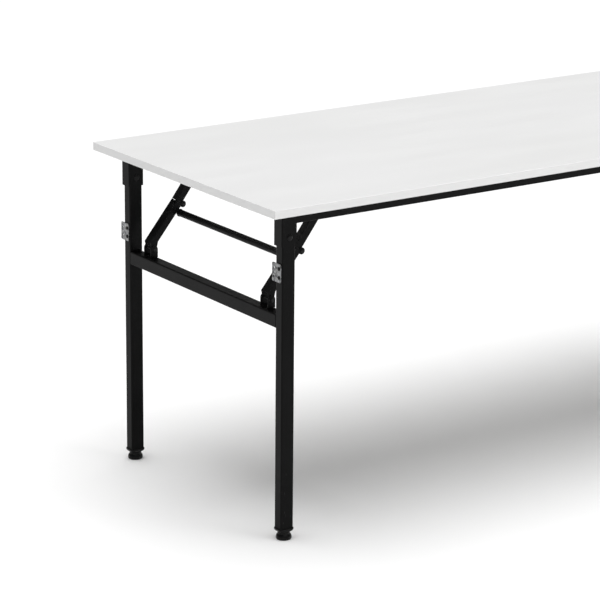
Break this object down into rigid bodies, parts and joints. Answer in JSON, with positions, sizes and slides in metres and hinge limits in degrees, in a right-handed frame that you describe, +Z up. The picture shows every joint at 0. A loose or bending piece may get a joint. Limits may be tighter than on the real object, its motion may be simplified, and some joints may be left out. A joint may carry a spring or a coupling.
{
  "type": "folding table",
  "caption": "Rectangular folding table: white laminated board on a black steel underframe whose end frames fold flat under the top on locking knee braces.",
  "frame": {"origin": "middle of the footprint, at floor level", "axes": "+X along the table's length, +Y across its width, +Z up; the joining plates' open halves on the -X end point to +Y"},
  "size_m": [1.8, 0.73, 0.74],
  "materials": {
    "white_face": "satin white melamine face",
    "white_edge": "satin white edge banding",
    "backing": "matt white balancing sheet",
    "particle_board": "raw particle board",
    "black_steel": "fine-textured black powder coat",
    "black_fixings": "semi-gloss black rivets and screws",
    "zinc": "bright zinc plate, slightly mottled",
    "steel": "plain zinc-plated steel",
    "black_plastic": "moulded black plastic"
  },
  "bodies": {
    "table_top": {"backing_sheet": "backing", "board_screws": "steel", "brace_hangers_left": "black_steel", "brace_hangers_right": "black_steel", "cross_rail_left": "black_steel", "cross_rail_right": "black_steel", "edge_band_back": "white_edge", "edge_band_front": "white_edge", "edge_band_left": "white_edge", "edge_band_right": "white_edge", "hanger_pins_left": "black_fixings", "hanger_pins_right": "black_fixings", "leg_bracket_back_left": "black_steel", "leg_bracket_back_right": "black_steel", "leg_bracket_front_left": "black_steel", "leg_bracket_front_right": "black_steel", "leg_pivot_pins_left": "black_fixings", "leg_pivot_pins_right": "black_fixings", "side_rail_back": "black_steel", "side_rail_front": "black_steel", "top_core": "particle_board", "top_laminate": "white_face"},
    "end_frame_left": {"brace_clevises_left": "black_steel", "clevis_pins_left": "black_fixings", "foot_nuts_left": "steel", "foot_plugs_left": "black_plastic", "joining_plates_left": "zinc", "leg_back_left": "black_steel", "leg_front_left": "black_steel", "pivot_sleeves_left": "steel", "plate_screws_left": "black_fixings", "stretcher_left": "black_steel"},
    "end_frame_right": {"brace_clevises_right": "black_steel", "clevis_pins_right": "black_fixings", "foot_nuts_right": "steel", "foot_plugs_right": "black_plastic", "joining_plates_right": "zinc", "leg_back_right": "black_steel", "leg_front_right": "black_steel", "pivot_sleeves_right": "steel", "plate_screws_right": "black_fixings", "stretcher_right": "black_steel"},
    "lower_braces_left": {"brace_lower_back_left": "black_steel", "brace_lower_front_left": "black_steel", "knee_rivets_left": "black_fixings", "release_bar_left": "black_steel"},
    "lower_braces_right": {"brace_lower_back_right": "black_steel", "brace_lower_front_right": "black_steel", "knee_rivets_right": "black_fixings", "release_bar_right": "black_steel"},
    "upper_brace_front_left": {"brace_upper_front_left": "black_steel"},
    "upper_brace_back_left": {"brace_upper_back_left": "black_steel"},
    "upper_brace_front_right": {"brace_upper_front_right": "black_steel"},
    "upper_brace_back_right": {"brace_upper_back_right": "black_steel"},
    "glide_front_left": {"foot_glide_front_left": "black_plastic"},
    "glide_back_left": {"foot_glide_back_left": "black_plastic"},
    "glide_front_right": {"foot_glide_front_right": "black_plastic"},
    "glide_back_right": {"foot_glide_back_right": "black_plastic"}
  },
  "joints": [
    {"name": "fold_left", "type": "hinge", "parent": "table_top", "child": "end_frame_left", "pos_m": [-0.833, 0, 0.665], "axis": [0, -1, 0], "range_deg": [0, 90]},
    {"name": "lower_brace_swing_left", "type": "hinge", "parent": "end_frame_left", "child": "lower_braces_left", "pos_m": [-0.83, 0, 0.514], "axis": [0, -1, 0], "range_deg": [0, 24.52]},
    {"name": "upper_brace_swing_front_left", "type": "hinge", "parent": "table_top", "child": "upper_brace_front_left", "pos_m": [-0.6831, -0.235, 0.701], "axis": [0, 1, 0], "range_deg": [0, 52.3]},
    {"name": "glide_screw_front_left", "type": "slide", "parent": "end_frame_left", "child": "glide_front_left", "axis": [0, 0, -1], "range_m": [0, 0.01]},
    {"name": "upper_brace_swing_back_left", "type": "hinge", "parent": "table_top", "child": "upper_brace_back_left", "pos_m": [-0.6831, 0.235, 0.701], "axis": [0, 1, 0], "range_deg": [0, 52.3]},
    {"name": "glide_screw_back_left", "type": "slide", "parent": "end_frame_left", "child": "glide_back_left", "axis": [0, 0, -1], "range_m": [0, 0.01]},
    {"name": "fold_right", "type": "hinge", "parent": "table_top", "child": "end_frame_right", "pos_m": [0.833, 0, 0.665], "axis": [0, 1, 0], "range_deg": [0, 90]},
    {"name": "lower_brace_swing_right", "type": "hinge", "parent": "end_frame_right", "child": "lower_braces_right", "pos_m": [0.83, 0, 0.514], "axis": [0, 1, 0], "range_deg": [0, 24.52]},
    {"name": "upper_brace_swing_front_right", "type": "hinge", "parent": "table_top", "child": "upper_brace_front_right", "pos_m": [0.6831, -0.235, 0.701], "axis": [0, -1, 0], "range_deg": [0, 52.3]},
    {"name": "glide_screw_front_right", "type": "slide", "parent": "end_frame_right", "child": "glide_front_right", "axis": [0, 0, -1], "range_m": [0, 0.01]},
    {"name": "upper_brace_swing_back_right", "type": "hinge", "parent": "table_top", "child": "upper_brace_back_right", "pos_m": [0.6831, 0.235, 0.701], "axis": [0, -1, 0], "range_deg": [0, 52.3]},
    {"name": "glide_screw_back_right", "type": "slide", "parent": "end_frame_right", "child": "glide_back_right", "axis": [0, 0, -1], "range_m": [0, 0.01]}
  ],
  "couplings": [
    {"joint": "lower_brace_swing_left", "follows": "fold_left", "ratio": 0.27138},
    {"joint": "upper_brace_swing_front_left", "follows": "fold_left", "ratio": 0.58005},
    {"joint": "upper_brace_swing_back_left", "follows": "fold_left", "ratio": 0.58005},
    {"joint": "lower_brace_swing_right", "follows": "fold_right", "ratio": 0.27138},
    {"joint": "upper_brace_swing_front_right", "follows": "fold_right", "ratio": 0.58005},
    {"joint": "upper_brace_swing_back_right", "follows": "fold_right", "ratio": 0.58005}
  ]
}
